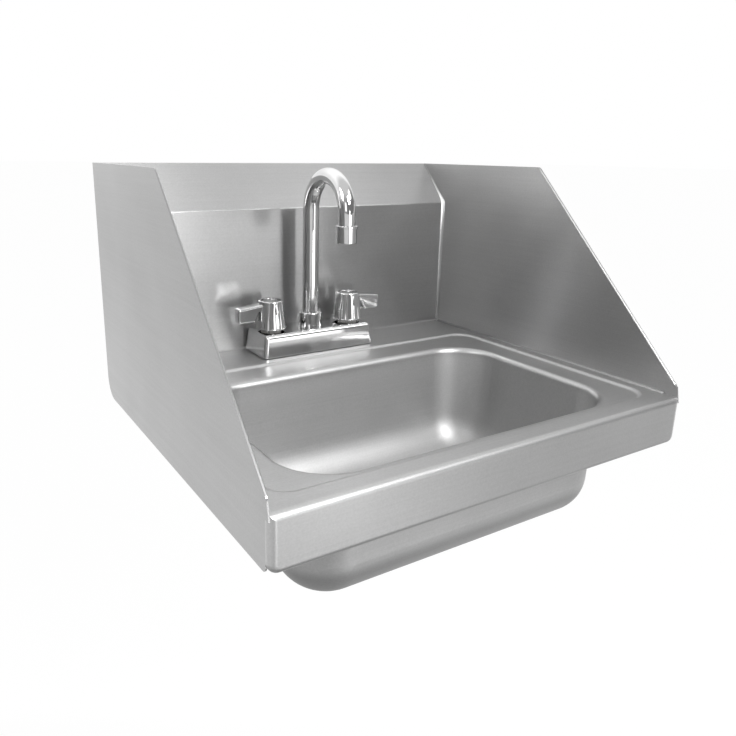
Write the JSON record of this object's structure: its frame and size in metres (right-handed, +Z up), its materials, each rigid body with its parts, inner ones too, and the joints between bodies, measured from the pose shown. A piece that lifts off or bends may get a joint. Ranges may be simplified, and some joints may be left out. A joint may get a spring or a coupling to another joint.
{
  "type": "wall-hung hand basin",
  "caption": "Wall-hung stainless hand basin with a deep bowl, sloped side splashes, a backsplash and a two-lever gooseneck faucet.",
  "frame": {"origin": "on the wall plane, in the middle of the wall bracket's four screw holes", "axes": "+Z up, +Y into the wall, +X to the right seen from the front"},
  "size_m": [0.432, 0.394, 0.3662],
  "materials": {
    "stainless_sheet": "brushed satin stainless steel",
    "bracket_steel": "zinc-plated steel",
    "drain_steel": "brushed satin stainless steel",
    "nut_zinc": "zinc-plated steel",
    "gasket_rubber": "black moulded rubber",
    "faucet_chrome": "polished chrome plate",
    "shank_brass": "turned brass",
    "ceramic": "lapped white ceramic",
    "pale_plastic": "moulded pale plastic",
    "cap_chrome": "polished chrome plate",
    "valve_nickel": "nickel-plated brass"
  },
  "bodies": {
    "basin": {"bowl_deck": "stainless_sheet", "backsplash": "stainless_sheet", "left_side_splash": "stainless_sheet", "right_side_splash": "stainless_sheet", "wall_bracket": "bracket_steel", "drain_body": "drain_steel", "drain_gasket": "gasket_rubber", "drain_rubber_washer": "gasket_rubber", "drain_friction_ring": "pale_plastic", "drain_locknut": "nut_zinc", "faucet_body": "faucet_chrome", "faucet_base_gasket": "gasket_rubber", "hot_inlet_shank": "shank_brass", "cold_inlet_shank": "shank_brass", "shank_washers": "nut_zinc", "shank_locknuts": "shank_brass", "hot_valve_cartridge": "valve_nickel", "cold_valve_cartridge": "valve_nickel", "valve_seat_seals": "gasket_rubber", "hot_fixed_disc": "ceramic", "cold_fixed_disc": "ceramic", "spout_collar": "faucet_chrome", "spout_bush": "pale_plastic"},
    "spout": {"gooseneck_spout": "faucet_chrome", "spout_o_rings": "gasket_rubber", "aerator_housing": "faucet_chrome", "aerator_insert": "pale_plastic", "aerator_washer": "gasket_rubber"},
    "hot_handle": {"hot_lever_handle": "faucet_chrome", "hot_valve_stem": "shank_brass", "hot_moving_disc": "ceramic", "hot_handle_screw": "nut_zinc", "hot_index_cap": "cap_chrome"},
    "cold_handle": {"cold_lever_handle": "faucet_chrome", "cold_valve_stem": "shank_brass", "cold_moving_disc": "ceramic", "cold_handle_screw": "nut_zinc", "cold_index_cap": "cap_chrome"},
    "strainer": {"crumb_cup": "drain_steel", "strainer_pull": "drain_steel"}
  },
  "joints": [
    {"name": "hot_handle_turn", "type": "hinge", "parent": "basin", "child": "hot_handle", "pos_m": [-0.0508, -0.073, -0.1009], "axis": [0, 0, 1], "range_deg": [0, 90]},
    {"name": "cold_handle_turn", "type": "hinge", "parent": "basin", "child": "cold_handle", "pos_m": [0.0508, -0.073, -0.1009], "axis": [0, 0, 1], "range_deg": [-90, 0]},
    {"name": "spout_swivel", "type": "hinge", "parent": "basin", "child": "spout", "pos_m": [0, -0.073, -0.1009], "axis": [0, 0, 1], "range_deg": [-95, 95]},
    {"name": "strainer_lift", "type": "slide", "parent": "basin", "child": "strainer", "axis": [0, 0, 1], "range_m": [0, 0.06]}
  ]
}
